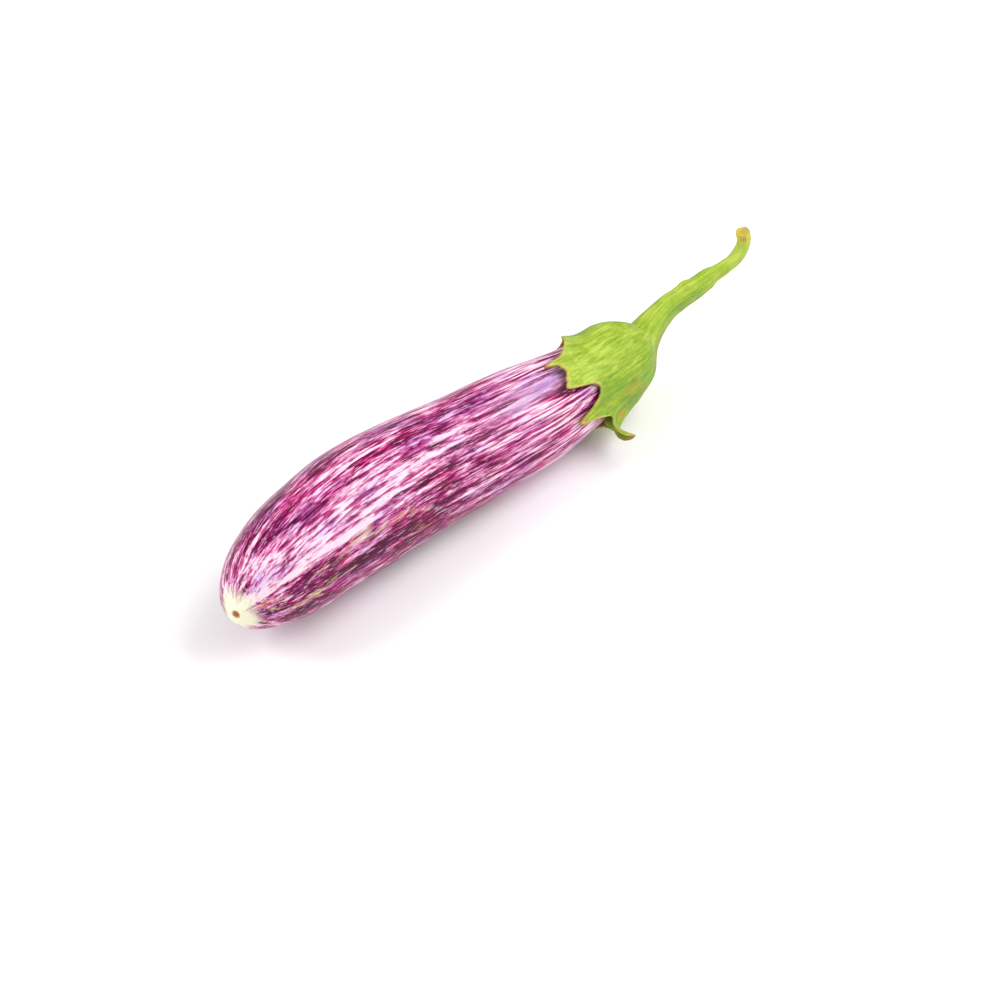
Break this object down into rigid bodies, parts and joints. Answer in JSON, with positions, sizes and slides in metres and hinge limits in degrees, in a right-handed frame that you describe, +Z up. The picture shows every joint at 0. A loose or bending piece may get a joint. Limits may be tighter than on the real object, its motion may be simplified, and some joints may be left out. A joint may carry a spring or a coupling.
{
  "type": "eggplant",
  "caption": "Long slim striped eggplant lying on its side, with a lobed green calyx and a curved cut stem.",
  "frame": {"origin": "centre of the small flat spot under the belly that the fruit rests on", "axes": "+X along the fruit from its blossom end towards its stem, +Z up"},
  "size_m": [0.274, 0.0526, 0.0459],
  "materials": {
    "striped_skin": "smooth glossy skin, streaked lengthwise in purple, lilac and white",
    "green_calyx": "satin yellow-green, faintly ribbed lengthwise, dry yellow at the lobes' edges"
  },
  "bodies": {
    "root": {"fruit": "striped_skin", "calyx_with_stem": "green_calyx"}
  },
  "joints": []
}
